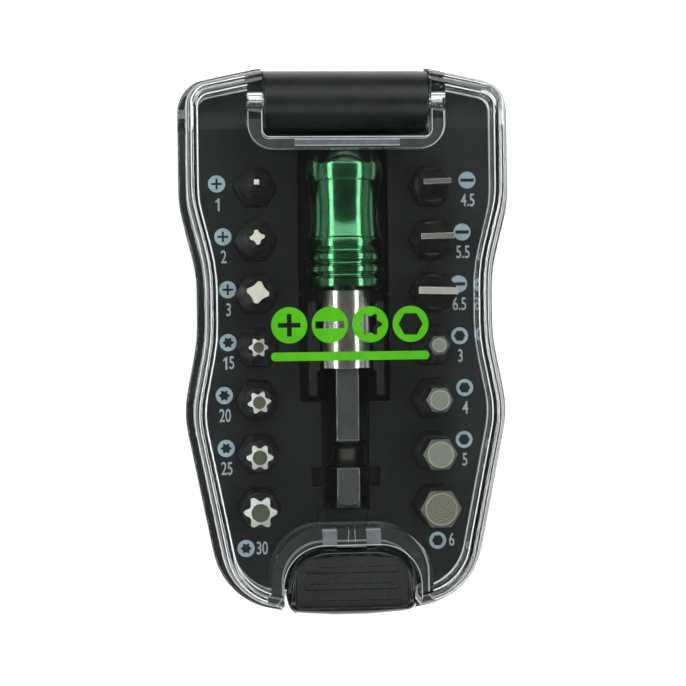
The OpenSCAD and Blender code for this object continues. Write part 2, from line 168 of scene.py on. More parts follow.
def loft(name, rings, closed_ends=True, smooth_angle=35):
    """A skin through rings of equal numbers of 3-D points."""
    bm = bmesh.new()
    rows = [[bm.verts.new(p) for p in ring] for ring in rings]
    n = len(rows[0])
    for low, high in zip(rows, rows[1:]):
        for i in range(n):
            j = (i + 1) % n
            bm.faces.new((low[i], low[j], high[j], high[i]))
    if closed_ends:
        bm.faces.new(rows[0][::-1])
        bm.faces.new(rows[-1])
    bmesh.ops.remove_doubles(bm, verts=bm.verts, dist=1e-7)
    return new_object(name, bm, smooth_angle)


def case_rings(profile):
    """Rings of the case's outline at each (inset, z)."""
    return [[(p.x, p.y, z) for p in rounded(CASE, inset)] for inset, z in profile]


def arc(cx, cz, r, a0, a1, steps):
    turns = [radians(a0 + (a1 - a0) * k / steps) for k in range(steps + 1)]
    return [(cx + r * cos(a), cz + r * sin(a)) for a in turns]


def prism(name, points, low, high):
    return loft(name, [[(p.x, p.y, z) for p in points] for z in (low, high)])


def box_mesh(name, low, high):
    bm = bmesh.new()
    bmesh.ops.create_cube(bm, size=1)
    for v in bm.verts:
        v.co = Vector(low[i] if v.co[i] < 0 else high[i] for i in range(3))
    return new_object(name, bm)


def x_cylinder(name, r, half, sides=128):
    """A cylinder on the hinge's axis."""
    turns = [2 * pi * k / sides for k in range(sides)]
    rings = [[(x, HINGE.y + r * cos(a), HINGE.z + r * sin(a)) for a in turns] for x in (-half, half)]
    return loft(name, rings)


def boolean(target, operation, *tools):
    """Applies each tool to the target in turn and removes it."""
    for tool in tools:
        m = target.modifiers.new("cut", "BOOLEAN")
        m.operation = operation
        m.solver = "MANIFOLD"
        m.object = tool
        apply_modifiers(target)
        bpy.data.objects.remove(tool)


def apply_modifiers(obj):
    bpy.context.view_layer.update()
    graph = bpy.context.evaluated_depsgraph_get()
    mesh = bpy.data.meshes.new_from_object(obj.evaluated_get(graph))
    obj.modifiers.clear()
    old = obj.data
    obj.data = mesh
    bpy.data.meshes.remove(old)
    return obj


def rounded_box(name, low, high, r):
    obj = box_mesh(name, low, high)
    m = obj.modifiers.new("edge", "BEVEL")
    m.width = r
    m.segments = 3
    m.limit_method = "ANGLE"
    m.angle_limit = radians(32)
    m.use_clamp_overlap = True
    m.miter_outer = "MITER_ARC"
    m.harden_normals = False
    return apply_modifiers(obj)


def join(name, objects):
    """One mesh object made of several, each keeping its faces."""
    bm = bmesh.new()
    for o in objects:
        bm.from_mesh(o.data)
        bpy.data.objects.remove(o)
    mesh = bpy.data.meshes.new(name)
    bm.to_mesh(mesh)
    bm.free()
    obj = linked(name, mesh)
    smooth(obj)
    return obj


# ---------------------------------------------------------------- materials
class Nodes:
    """A short way to write a material's nodes."""

    def __init__(self, name):
        self.material = bpy.data.materials.new(name)
        self.material.use_nodes = True
        self.tree = self.material.node_tree
        self.shader = self.tree.nodes["Principled BSDF"]
        self.output = self.tree.nodes["Material Output"]
        self.place = self.add("ShaderNodeTexCoord").outputs["Object"]

    def add(self, kind, **inputs):
        node = self.tree.nodes.new(kind)
        for key, value in inputs.items():
            self.put(node.inputs[key.replace("_", " ")], value)
        return node

    def put(self, socket, value):
        if hasattr(value, "links"):
            self.tree.links.new(value, socket)
        else:
            socket.default_value = value

    def noise(self, scale, detail=3, roughness=0.6, vector=None):
        node = self.add("ShaderNodeTexNoise", Scale=scale, Detail=detail, Roughness=roughness)
        self.put(node.inputs["Vector"], vector or self.place)
        return node.outputs["Fac"]

    def stretched(self, x, y, z):
        node = self.add("ShaderNodeMapping", Scale=(x, y, z))
        self.put(node.inputs["Vector"], self.place)
        return node.outputs["Vector"]

    def ramp(self, value, low, high, to_low=0.0, to_high=1.0):
        node = self.add("ShaderNodeMapRange")
        node.interpolation_type = "SMOOTHSTEP"
        for i, v in enumerate((value, low, high, to_low, to_high)):
            self.put(node.inputs[i], v)
        return node.outputs[0]

    def math(self, operation, a, b=0.0, c=0.0):
        node = self.add("ShaderNodeMath")
        node.operation = operation
        for i, v in enumerate((a, b, c)):
            self.put(node.inputs[i], v)
        return node.outputs[0]

    def mix(self, factor, a, b):
        node = self.add("ShaderNodeMix")
        node.data_type = "RGBA"
        self.put(node.inputs[0], factor)
        for i, v in ((6, a), (7, b)):
            self.put(node.inputs[i], (*v, 1) if isinstance(v, tuple) else v)
        return node.outputs[2]

    def bump(self, height, strength, distance, normal=None):
        node = self.add("ShaderNodeBump", Height=height, Strength=strength, Distance=distance)
        if normal is not None:
            self.put(node.inputs["Normal"], normal)
        return node.outputs["Normal"]

    def soft_edges(self, radius):
        node = self.add("ShaderNodeBevel", Radius=radius)
        node.samples = 6
        return node.outputs["Normal"]

    def worn_and_highlit_edges(self, radius, low=0.02, high=0.2):
        """1 on the sharp edges, 0 on the faces: a mask for wear and painted highlights along the edges."""
        rounded_normal = self.soft_edges(radius)
        node = self.add("ShaderNodeVectorMath")
        node.operation = "DOT_PRODUCT"
        self.put(node.inputs[0], rounded_normal)
        self.put(node.inputs[1], self.add("ShaderNodeNewGeometry").outputs["Normal"])
        return self.ramp(self.math("SUBTRACT", 1.0, node.outputs["Value"]), low, high)

    def set(self, **inputs):
        for key, value in inputs.items():
            self.put(self.shader.inputs[key.replace("_", " ")], value)
        return self.material

    def xyz(self):
        node = self.add("ShaderNodeSeparateXYZ", Vector=self.place)
        return node.outputs

    def normal_z(self):
        geometry = self.add("ShaderNodeNewGeometry")
        return self.add("ShaderNodeSeparateXYZ", Vector=geometry.outputs["Normal"]).outputs["Z"]


def plastic(name, dark, light, rough=(0.36, 0.5), grain=0.12, scale=5200, edge=0.0, shine=0.5):
    n = Nodes(name)
    cloud = n.noise(90, 4)
    fine = n.noise(scale, 2, 0.7)
    speck = n.noise(scale * 0.35, 3, 0.7)
    height = n.math("ADD", fine, n.math("MULTIPLY", speck, 0.6))
    normal = n.bump(height, grain, 0.00006, n.soft_edges(edge) if edge else None)
    specks = n.math("ADD", cloud, n.math("MULTIPLY", speck, 0.5 + grain))
    colour = n.mix(n.ramp(specks, 0.45 + grain / 2, 1.05 + grain / 2), dark, light)
    roughness = n.ramp(n.math("ADD", cloud, n.math("MULTIPLY", fine, 0.4)), 0.4, 1.0, rough[0], rough[1])
    return n.set(Base_Color=colour, Roughness=roughness, Normal=normal, Specular_IOR_Level=shine)


def metal(name, dark, light, edge=0.0):
    n = Nodes(name)
    cloud = n.noise(220, 3)
    marks = n.noise(900, 4, 0.7)
    normal = n.bump(marks, 0.05, 0.00003, n.soft_edges(edge) if edge else None)
    colour = n.mix(n.ramp(n.math("ADD", cloud, n.math("MULTIPLY", marks, 0.5)), 0.5, 1.1), dark, light)
    roughness = n.ramp(n.math("ADD", marks, n.math("MULTIPLY", cloud, 0.4)), 0.45, 1.0, 0.2, 0.34)
    return n.set(Base_Color=colour, Metallic=1.0, Roughness=roughness, Normal=normal)


def anodised(name, dark, light, nose):
    """Dyed turned metal, with painted shade darkening the cone in front of nose."""
    n = Nodes(name)
    cloud = n.noise(220, 3)
    marks = n.noise(5200, 3, 0.7, n.stretched(0.12, 1, 0.12))
    colour = n.mix(n.ramp(n.math("ADD", cloud, n.math("MULTIPLY", marks, 0.5)), 0.5, 1.1), dark, light)
    # Painted shade: the colour goes almost black on the cone in front of nose
    cone = n.ramp(n.xyz()["Y"], nose, nose + 0.12 * MM)
    colour = n.mix(n.math("MULTIPLY", cone, 0.85), colour, tuple(c * 0.08 for c in dark))
    roughness = n.ramp(n.math("ADD", marks, n.math("MULTIPLY", cloud, 0.4)), 0.45, 1.0, 0.13, 0.2)
    return n.set(Base_Color=colour, Metallic=1.0, Roughness=roughness, Coat_Weight=0.8, Coat_Roughness=0.12,
                 Normal=n.bump(marks, 0.03, 0.00003))


def frost_and_glint(name, colour, clear):
    """Matt floors moulded in the clear lid, which catch the light, and pale rods that paint the highlights on
    its fine edges.
    """
    n = Nodes(name)
    cloud = n.noise(500, 4, 0.7)
    fine = n.noise(5200, 2, 0.7)
    shade = n.mix(n.ramp(cloud, 0.35, 0.7), tuple(c * 0.7 for c in colour), colour)
    return n.set(Base_Color=shade, Roughness=n.ramp(fine, 0.3, 0.7, 0.32, 0.45),
                 Transmission_Weight=clear, IOR=1.3, Normal=n.bump(fine, 0.1, 0.00003))


def clear_plastic(name):
    n = Nodes(name)
    smear = n.noise(160, 4, 0.6, n.stretched(1, 0.35, 1))
    wave = n.noise(55, 2)
    scuff = n.ramp(n.noise(5200, 3, 0.7, n.stretched(1, 0.12, 1)), 0.74, 0.86)
    roughness = n.math("ADD", n.ramp(smear, 0.4, 0.8, 0.0, 0.035), n.math("MULTIPLY", scuff, 0.06))
    tint = n.mix(n.ramp(wave, 0.3, 0.7), (0.93, 0.975, 0.97), (0.965, 0.985, 0.985))
    n.set(Base_Color=tint, Roughness=roughness, Transmission_Weight=1.0, IOR=1.585,
          Normal=n.bump(wave, 0.05, 0.0003))
    lamps = n.add("ShaderNodeLightPath").outputs["Is Shadow Ray"]
    through = n.add("ShaderNodeBsdfTransparent", Color=(0.93, 0.95, 0.95, 1))
    both = n.add("ShaderNodeMixShader")
    n.put(both.inputs[0], lamps)
    n.put(both.inputs[1], n.shader.outputs[0])
    n.put(both.inputs[2], through.outputs[0])
    n.put(n.output.inputs["Surface"], both.outputs[0])
    return n.material


def ink(name, colour, lighter, rough=0.5):
    n = Nodes(name)
    fleck = n.noise(7000, 3, 0.7)
    cloud = n.noise(350, 3)
    mixed = n.mix(n.ramp(n.math("ADD", cloud, n.math("MULTIPLY", fleck, 0.6)), 0.5, 1.2), colour, lighter)
    return n.set(Base_Color=mixed, Roughness=n.ramp(fleck, 0.3, 0.7, rough - 0.06, rough + 0.06),
                 Specular_IOR_Level=0.25, Normal=n.bump(fleck, 0.08, 0.00003))


def bit_finish(name, x, y, tip_z, end_r, face, flank, rings=False):
    """Dark oxide steel with a bare tip: face on the flat end inside end_r, flank on the slopes round it, a
    painted highlight ring at end_r, and wear with painted highlights on the tip's edges.
    """
    n = Nodes(name)
    at = n.xyz()
    away = n.math("SQRT", n.math("ADD",
        n.math("POWER", n.math("SUBTRACT", at["X"], x), 2.0),
        n.math("POWER", n.math("SUBTRACT", at["Y"], y), 2.0)))
    up = n.normal_z()
    blast = n.noise(5200, 3, 0.75)
    cloud = n.noise(700, 3)
    near_tip = n.ramp(at["Z"], tip_z - 1.7 * MM, tip_z - 0.9 * MM)
    slope = n.math("MULTIPLY", n.ramp(up, 0.12, 0.35), near_tip)
    at_tip = n.ramp(at["Z"], tip_z - 0.1 * MM, tip_z - 0.05 * MM)
    flat_end = n.math("MULTIPLY", n.ramp(up, 0.965, 0.99), at_tip)
    # Painted highlight: a ring round the rim of the flat end
    rim = n.math("MULTIPLY", flat_end, n.ramp(away, end_r - 0.16 * MM, end_r - 0.04 * MM))
    oxide = n.mix(n.ramp(cloud, 0.35, 0.7), (0.012, 0.012, 0.011), (0.035, 0.034, 0.032))
    flank_colour = n.mix(n.ramp(blast, 0.3, 0.75), tuple(c * 0.72 for c in flank), flank)
    face_colour = n.mix(n.ramp(blast, 0.3, 0.75), tuple(c * 0.6 for c in face), face)
    if rings:
        wander = n.math("MULTIPLY", n.noise(330, 4, 0.7), 0.0011)
        turned = n.math("SINE", n.math("MULTIPLY", n.math("ADD", away, wander), 2 * pi / (0.46 * MM)))
        face_colour = n.mix(n.ramp(turned, -0.5, 0.8), (0.085, 0.072, 0.05), face_colour)
        height = n.math("ADD", blast, n.math("MULTIPLY", turned, 1.2))
    else:
        height = blast
    colour = n.mix(slope, oxide, flank_colour)
    colour = n.mix(flat_end, colour, face_colour)
    # Painted highlight: the rim ring gets the face colour made over twice as bright
    colour = n.mix(n.math("MULTIPLY", rim, 0.8), colour, tuple(c * 2.2 for c in face))
    # Wear and painted highlight: the edges near the tip turn pale bare steel
    edge_wear_and_highlight = n.math("MULTIPLY", n.worn_and_highlit_edges(0.15 * MM), n.ramp(at["Z"], tip_z - 0.35 * MM, tip_z - 0.05 * MM))
    colour = n.mix(n.math("MULTIPLY", edge_wear_and_highlight, 0.8), colour, (0.58, 0.57, 0.53))
    bare = n.math("MAXIMUM", slope, flat_end)
    return n.set(
        Base_Color=colour,
        Metallic=n.ramp(bare, 0.0, 1.0, 0.75, 1.0),
        Roughness=n.math("ADD", n.ramp(bare, 0.0, 1.0, 0.42, 0.5), n.math("MULTIPLY", blast, 0.12)),
        Normal=n.bump(height, 0.35, 0.00004, n.soft_edges(0.05 * MM)))


BLACK = plastic("black_grained", (0.0035, 0.0045, 0.0043), (0.009, 0.0105, 0.0102), rough=(0.26, 0.35),
                grain=0.5, scale=7500, edge=0.12 * MM, shine=0.24)
TRAY = plastic("black_satin", (0.003, 0.0035, 0.0035), (0.006, 0.007, 0.0065), rough=(0.34, 0.44), grain=0.1,
               edge=0.14 * MM, shine=0.22)
BUTTON = plastic("black_button", (0.002, 0.0025, 0.0025), (0.012, 0.013, 0.013), rough=(0.4, 0.52),
                 grain=1.0, scale=8000, shine=0.2)
GLOSS = plastic("black_gloss", (0.003, 0.0035, 0.0035), (0.006, 0.0065, 0.0065), rough=(0.14, 0.22),
                grain=0.02, shine=0.5)
CLEAR = clear_plastic("clear_polished")
# Painted highlight: a pale material for the thin rods that stand for the glints on the lid's edges
PAINTED_GLINT = frost_and_glint("clear_edge_painted_glint", (0.75, 0.78, 0.78), 0.35)
MATT = frost_and_glint("clear_matt", (0.05, 0.054, 0.052), 0.35)
BAND = frost_and_glint("clear_band", (0.17, 0.185, 0.20), 0.3)
MARKS = ink("pale_blue_print", (0.27, 0.36, 0.40), (0.40, 0.50, 0.54))
DIGITS = ink("pale_grey_print", (0.33, 0.36, 0.38), (0.46, 0.49, 0.51))
GREEN_INK = ink("green_print", (0.036, 0.26, 0.0), (0.055, 0.32, 0.001), rough=0.38)
ANODISED = anodised("green_anodised", (0.022, 0.13, 0.045), (0.036, 0.205, 0.072), sleeve_high.y - 2.75 * MM)


def holder_steel(name, hex_end, neck):
    """Turned steel on the body, ground flats on the shank with painted shade on the side flats, and a groove
    between neck's two ends coloured with painted shade and a painted glow; the edges wear pale with painted
    highlights.
    """
    n = Nodes(name)
    at = n.xyz()
    cloud = n.noise(220, 3)
    turned = n.noise(3500, 3, 0.7, n.stretched(0.1, 1, 0.1))
    drawn = n.noise(4200, 3, 0.7, n.stretched(1, 0.06, 1))
    grain = n.noise(3600, 4, 0.75)
    shank = n.ramp(at["Y"], hex_end + 0.1 * MM, hex_end - 0.1 * MM)
    middle, half = (neck[0] + neck[1]) / 2, (neck[1] - neck[0]) / 2
    groove = n.ramp(n.math("ABSOLUTE", n.math("SUBTRACT", at["Y"], middle)), half, half - 0.5 * MM)
    body = n.mix(n.ramp(n.math("ADD", cloud, n.math("MULTIPLY", turned, 0.5)), 0.5, 1.1),
                 (0.40, 0.38, 0.33), (0.55, 0.53, 0.48))
    flats = n.mix(n.ramp(n.math("ADD", cloud, n.math("MULTIPLY", drawn, 0.6)), 0.5, 1.2),
                  (0.17, 0.18, 0.17), (0.25, 0.255, 0.245))
    across = n.math("ABSOLUTE", at["X"])
    # Painted glow: a lighter streak down the middle of the groove's top
    painted_groove_glow = n.math("MULTIPLY", n.ramp(across, 1.9 * MM, 0.3 * MM),
                  n.ramp(n.math("ABSOLUTE", n.math("SUBTRACT", at["Y"], middle)), 2 * MM, 0.8 * MM))
    # Painted shade: the groove is coloured nearly black, lightened only by the painted glow
    groove_painted_shade_and_glow = n.mix(n.math("MULTIPLY", painted_groove_glow, n.ramp(grain, 0.2, 0.6, 0.6, 1.0)),
                 (0.006, 0.006, 0.005), (0.035, 0.034, 0.026))
    # Painted shade: the side flats beyond the top flat are coloured dark
    flats = n.mix(n.ramp(across, 1.75 * MM, 2 * MM), flats, (0.035, 0.036, 0.034))
    colour = n.mix(groove, n.mix(shank, body, flats), groove_painted_shade_and_glow)
    # Wear and painted highlight: the edges turn pale steel, less so in the groove
    edge_wear_and_highlight_strength = n.math("SUBTRACT", 0.7, n.math("MULTIPLY", groove, 0.7))
    colour = n.mix(n.math("MULTIPLY", n.worn_and_highlit_edges(0.14 * MM, 0.01, 0.12), edge_wear_and_highlight_strength), colour, (0.72, 0.71, 0.68))
    roughness = n.math("ADD", n.ramp(shank, 0, 1, 0.17, 0.2), n.math("MULTIPLY", groove, 0.3))
    roughness = n.math("ADD", roughness, n.math("MULTIPLY", cloud, 0.06))
    height = n.math("ADD", n.math("MULTIPLY", turned, n.math("SUBTRACT", 1.0, shank)),
                    n.math("MULTIPLY", drawn, shank))
    return n.set(Base_Color=colour, Metallic=1.0, Roughness=roughness,
                 Normal=n.bump(height, 0.03, 0.00002, n.soft_edges(0.1 * MM)))


TURNED = holder_steel("turned_steel", -4.3 * MM, (-21.3 * MM, -16.1 * MM))
BRIGHT = metal("bright_steel", (0.5, 0.49, 0.46), (0.68, 0.67, 0.64), edge=0.05 * MM)
WIRE = metal("spring_wire", (0.36, 0.35, 0.33), (0.56, 0.55, 0.52))
MAGNET = metal("plated_magnet", (0.3, 0.3, 0.29), (0.42, 0.42, 0.4))


# ---------------------------------------------------------------- case
def make_base():
    edge = 1.4 * MM
    lip = 0.3 * MM
    profile = arc(edge, edge, edge, 270, 180, 8)
    profile += arc(lip, RIM_Z - lip, lip, 180, 90, 4)
    profile += arc(WALL - lip, RIM_Z - lip, lip, 90, 0, 4)
    profile += arc(WALL + 0.6 * MM, WALL + 0.6 * MM, 0.6 * MM, 180, 270, 4)
    shell = loft("case_base", case_rings(profile))
    boolean(shell, "DIFFERENCE", x_cylinder("scoop", SCOOP_R, CASE_W))
    bay_half = latch_high.x + 0.25 * MM
    bay = box_mesh("bay", (-bay_half, -OUTSIDE, 4.2 * MM), (bay_half, -41 * MM, 30 * MM))
    half = BARREL_HALF
    soft = 0.3 * MM
    tower = rounded_box("tower", (-half, HINGE.y - 4 * MM, WALL - EPS),
                        (half, END_Y - 1 * MM, RIM_Z - 0.6 * MM), soft)
    post = rounded_box("post", (-half, HINGE.y - 3 * MM, RIM_Z - 1 * MM),
                       (half, HINGE.y + 3 * MM, HINGE.z), soft)
    wall_out = bay_half + 1.8 * MM
    wall_front, wall_back = -44.2 * MM, -39.6 * MM
    bay_wall = prism("bay_wall", [Vector(p) for p in (
        (-wall_out, wall_front), (wall_out, wall_front), (wall_out, wall_back), (-wall_out, wall_back))],
        WALL - EPS, RIM_Z)
    boolean(shell, "UNION", tower, post, bay_wall)
    boolean(shell, "DIFFERENCE", bay)
    r = 1.6 * MM
    # Round the outer corners of the button's bay where it meets the end of the case
    bay_end = min(p.y for p in even(rounded(CASE), 0.5 * MM) if abs(p.x) > bay_half)
    inner_x, outer_x, outside_y = bay_half - 0.3 * MM, bay_half + r, bay_end - 4 * MM
    for s in (-1, 1):
        corner = [Vector((s * (bay_half + r * (1 - sin(a))), bay_end + r * (1 - cos(a)))) for a in quarter(6)]
        corner += [Vector((s * x, y)) for x, y in
                   ((inner_x, bay_end + r), (inner_x, outside_y), (outer_x, outside_y))]
        boolean(shell, "DIFFERENCE", prism("bay_corner", corner, 5 * MM, 30 * MM))
    smooth(shell)
    give(shell, "case", BLACK)
    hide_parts("base_shell")

    end, bore = 0.35 * MM, 1.6 * MM
    side = [(-half, bore)]
    side += [(-half + end - end * cos(a), BARREL_R - end + end * sin(a)) for a in quarter(4)]
    side += [(half - end + end * sin(a), BARREL_R - end + end * cos(a)) for a in quarter(4)]
    side.append((half, bore))
    barrel = revolve("hinge_barrel", side, "X", HINGE, 160)
    give(barrel, "case", BLACK)


def quarter(steps):
    return [pi / 2 * k / steps for k in range(steps + 1)]


def revolve(name, profile, axis, centre, sides=128, smooth_angle=35):
    """A closed skin turned about an axis through centre: profile is (distance along the axis, radius)."""
    rings = []
    for along, r in profile:
        ring = []
        for k in range(sides):
            a = 2 * pi * k / sides
            u, v = r * cos(a), r * sin(a)
            ring.append((centre[0] + along, centre[1] + u, centre[2] + v) if axis == "X"
                        else (centre[0] + u, centre[1] + along, centre[2] + v))
        rings.append(ring)
    return loft(name, rings, smooth_angle=smooth_angle)


def give(obj, body, material):
    """Says what a new piece moves with and is made of."""
    obj.data.materials.clear()
    obj.data.materials.append(material)
    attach(obj, body)
    return obj


def finish_node(name, material):
    """A material for a piece that stays as it came from CAD."""
    obj = nodes[name]
    if not obj.material_slots:
        obj.data.materials.append(material)
    for s in obj.material_slots:
        s.material = material


def u_outline(half, edge_y, r, far_y):
    """A slot that runs out of one end of the case, with its round corners inside."""
    slot = [(-half, edge_y, r), (half, edge_y, r), (half, far_y, 1 * MM), (-half, far_y, 1 * MM)]
    return rounded(slot if far_y > edge_y else slot[::-1])


def make_lid():
    foot = RIM_Z + LID_GAP
    shoulder = foot + 3 * MM
    lip, roof_r, inner_r = 0.4 * MM, 1.9 * MM, 0.3 * MM
    outer = arc(0.25 * MM, foot + 0.25 * MM, 0.25 * MM, 270, 180, 3)
    outer += arc(lip, shoulder - lip, lip, 180, 90, 4)
    outer += arc(LID_STEP - 0.3 * MM, shoulder + 0.3 * MM, 0.3 * MM, 270, 360, 4)
    outer += arc(LID_STEP + roof_r, LID_TOP - roof_r, roof_r, 180, 90, 12)
    inside = LID_T + LID_STEP
    step_z = shoulder - LID_T + 1 * MM
    inner = arc(LID_T - 0.25 * MM, foot + 0.25 * MM, 0.25 * MM, 270, 360, 3)
    inner += arc(LID_T + 0.4 * MM, step_z - 0.4 * MM, 0.4 * MM, 180, 90, 4)
    inner += arc(inside - 0.4 * MM, step_z + 0.4 * MM, 0.4 * MM, 270, 360, 4)
    inner += arc(inside + inner_r, LID_TOP - LID_T - inner_r, inner_r, 180, 90, 8)
    lid = loft("lid_shell", case_rings(inner[::-1] + outer))

    # The sides reach down round the hinge, inside the circle that clears the scoop in the base
    swing = SCOOP_R - 0.3 * MM
    low, high, thin = HINGE.z - swing - 1 * MM, foot + 0.6 * MM, 0.03 * MM
    lobe = [(thin, low), (thin, high), (LID_T - thin, high), (LID_T - thin, low), (thin, low)]
    lobes = loft("lobes", case_rings(lobe), closed_ends=False)
    boolean(lobes, "INTERSECT", x_cylinder("swing", swing, CASE_W))
    boolean(lid, "UNION", lobes)

    room = prism("room", rounded(CASE, LID_STEP + LID_T - 0.7 * MM), 10 * MM, LID_TOP - 0.5 * MM)
    notch_y = 33.6 * MM
    rim_bottom = 28.5 * MM
    wall_y = notch_y - 1.85 * MM
    walls = prism("hinge_wall", u_outline(EAR_OUT, wall_y, 4 * MM, OUTSIDE), rim_bottom, LID_TOP - EPS)
    ear_front = HINGE.y - 3.1 * MM
    for s in (-1, 1):
        a, b = sorted((s * EAR_IN, s * EAR_OUT))
        ear = box_mesh("ear", (a, ear_front, foot), (b, OUTSIDE, LID_TOP - EPS))
        half_disc = box_mesh("half_disc", (a, ear_front, 10 * MM), (b, OUTSIDE, LID_TOP - EPS))
        boolean(half_disc, "INTERSECT", x_cylinder("disc2", swing, EAR_OUT + 1 * MM))
        boolean(walls, "UNION", ear, half_disc)
    latch_half = latch_high.x + 0.6 * MM
    bezel_y = -33.1 * MM
    bezel = prism("bezel", u_outline(latch_half + 2.1 * MM, bezel_y + 2.8 * MM, 8.5 * MM, -OUTSIDE),
                  foot + 0.1 * MM, LID_TOP - EPS)
    boolean(walls, "UNION", bezel)
    boolean(walls, "INTERSECT", room)
    for solid in (walls, lid):
        boolean(solid, "DIFFERENCE",
                prism("barrel_room", u_outline(EAR_IN, notch_y, 1.2 * MM, OUTSIDE), 10 * MM, 40 * MM),
                prism("latch_room", u_outline(latch_half, bezel_y, 6.8 * MM, -OUTSIDE), 10 * MM, 40 * MM))
    boolean(lid, "UNION", walls)
    behind = box_mesh("behind", (-40 * MM, HINGE.y, 10 * MM), (40 * MM, OUTSIDE, HINGE.z))
    boolean(behind, "DIFFERENCE", x_cylinder("swing2", swing, OUTSIDE))
    boolean(lid, "DIFFERENCE", behind)
    pin_r = pin_high.z - HINGE.z + 0.06 * MM
    boolean(lid, "DIFFERENCE", x_cylinder("pin_hole", pin_r, EAR_OUT + 1 * MM, sides=48))
    room_half = 1.2 * MM
    for s in (-1, 1):
        boolean(lid, "DIFFERENCE", box_mesh(
            "hook_room", (s * HOOK_X - room_half, bezel_y - 1 * MM, 26.2 * MM),
            (s * HOOK_X + room_half, bezel_y + 2.3 * MM, 29.6 * MM)))
    ridge_half, ridge_z = 8.6 * MM, 31 * MM
    boolean(lid, "DIFFERENCE", box_mesh(
        "ridge", (-ridge_half, wall_y + 0.4 * MM, 20 * MM), (ridge_half, notch_y - 0.4 * MM, ridge_z)))
    smooth(lid, 32)
    # Without this the narrow faces left by the cuts bend the light in the flat roof
    even_faces = lid.modifiers.new("even_faces", "WEIGHTED_NORMAL")
    even_faces.keep_sharp = True
    even_faces.weight = 100
    apply_modifiers(lid)
    give(lid, "lid", CLEAR)
    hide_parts("lid_cover")
    frost_rims(lid, rim_bottom, foot, bezel_y)
    add_lid_edge_glints(latch_half, bezel_y, wall_y, notch_y, foot, rim_bottom, ridge_half, ridge_z)


def add_lid_edge_glints(latch_half, bezel_y, wall_y, notch_y, foot, rim_bottom, ridge_half, ridge_z):
    """Thin pale rods that paint the highlights on the fine edges of the two U-shaped walls, on the ridge and
    by the latch, and the ledge that the latch catches.
    """
    ends = (38 * MM, -42 * MM)
    lines = []
    for half, edge_y, r, end, z, w in (
            (EAR_OUT - 0.08 * MM, wall_y + 0.08 * MM, 4 * MM, ends[0], rim_bottom + 0.1 * MM, 0.16 * MM),
            (EAR_IN + 0.08 * MM, notch_y - 0.08 * MM, 1.2 * MM, ends[0], LID_TOP - 0.2 * MM, 0.13 * MM),
            (EAR_IN + 0.12 * MM, notch_y - 0.12 * MM, 1.2 * MM, ends[0], rim_bottom + 0.1 * MM, 0.1 * MM),
            (latch_half + 2.02 * MM, bezel_y + 2.72 * MM, 8.5 * MM, ends[1], foot + 0.2 * MM, 0.15 * MM),
            (latch_half + 0.08 * MM, bezel_y + 0.08 * MM, 6.8 * MM, ends[1], foot + 0.2 * MM, 0.1 * MM),
            (latch_half + 0.1 * MM, bezel_y + 0.1 * MM, 6.8 * MM, ends[1], LID_TOP - 0.2 * MM, 0.12 * MM)):
        far_y = math.copysign(OUTSIDE, end)
        path = [p for p in u_outline(half, edge_y, r, far_y) if abs(p.y) < abs(end)]
        first, last = (Vector((math.copysign(half, p.x), end)) for p in (path[0], path[-1]))
        lines.append(ribbon("line", [first] + path + [last], z, w))
    for y in (wall_y + 0.45 * MM, notch_y - 0.45 * MM):
        path = [Vector((-ridge_half, y)), Vector((ridge_half, y))]
        lines.append(ribbon("line", path, ridge_z + 0.05 * MM, 0.12 * MM))
    for x in (-0.5 * MM, 0.7 * MM):
        path = [Vector((x, bezel_y + 0.3 * MM)), Vector((x * 0.8, bezel_y + 2.3 * MM))]
        lines.append(ribbon("line", path, 28 * MM, 0.09 * MM))
    # Painted highlight: the rods are given the pale glint material
    give(join("lid_edge_glints", lines), "lid", PAINTED_GLINT)
    ledge = rounded_box("catch_ledge", (-2.4 * MM, bezel_y - 0.45 * MM, 29.7 * MM),
                        (2.4 * MM, bezel_y + 0.1 * MM, 30.6 * MM), 0.1 * MM)
    give(ledge, "lid", BAND)


def ribbon(name, path, z, w):
    """A thin square rod along an open path."""
    rings = []
    for i, p in enumerate(path):
        along = (path[min(i + 1, len(path) - 1)] - path[max(i - 1, 0)]).normalized()
        side = Vector((along.y, -along.x)) * w / 2
        rings.append([(p.x - side.x, p.y - side.y, z), (p.x + side.x, p.y + side.y, z),
                      (p.x + side.x, p.y + side.y, z + w), (p.x - side.x, p.y - side.y, z + w)])
    return loft(name, rings)


def frost_rims(lid, rim_bottom, foot, bezel_y):
    """Gives the rims round the barrel and the button their matt floors."""
    for material in (MATT, BAND):
        lid.data.materials.append(material)
    matt, band = 1, 2
    for face in lid.data.polygons:
        c, up = face.center, face.normal.z
        if abs(c.y) < 25 * MM or abs(c.x) > EAR_OUT + 0.4 * MM:
            continue
        near_wall_foot = abs(c.z - (rim_bottom if c.y > 0 else foot + 0.1 * MM)) < 0.05 * MM
        if up < -0.95 and near_wall_foot and (c.y > 30 * MM or c.y < bezel_y + 3 * MM):
            face.material_index = matt
        elif up < -0.95 and 30.9 * MM < c.z < 31.1 * MM and c.y > 30 * MM:
            face.material_index = band
        elif up < -0.95 and 29.5 * MM < c.z < 29.7 * MM and c.y < -30 * MM:
            face.material_index = band


def distance(point, outline):
    """How far a point is from a closed outline, seen from above."""
    p = Vector(point)
    best = 1.0
    for a, b in zip(outline, outline[1:] + outline[:1]):
        step = b - a
        t = 0 if step.length_squared == 0 else max(0, min(1, (p - a).dot(step) / step.length_squared))
        best = min(best, (a + step * t - p).length)
    return best


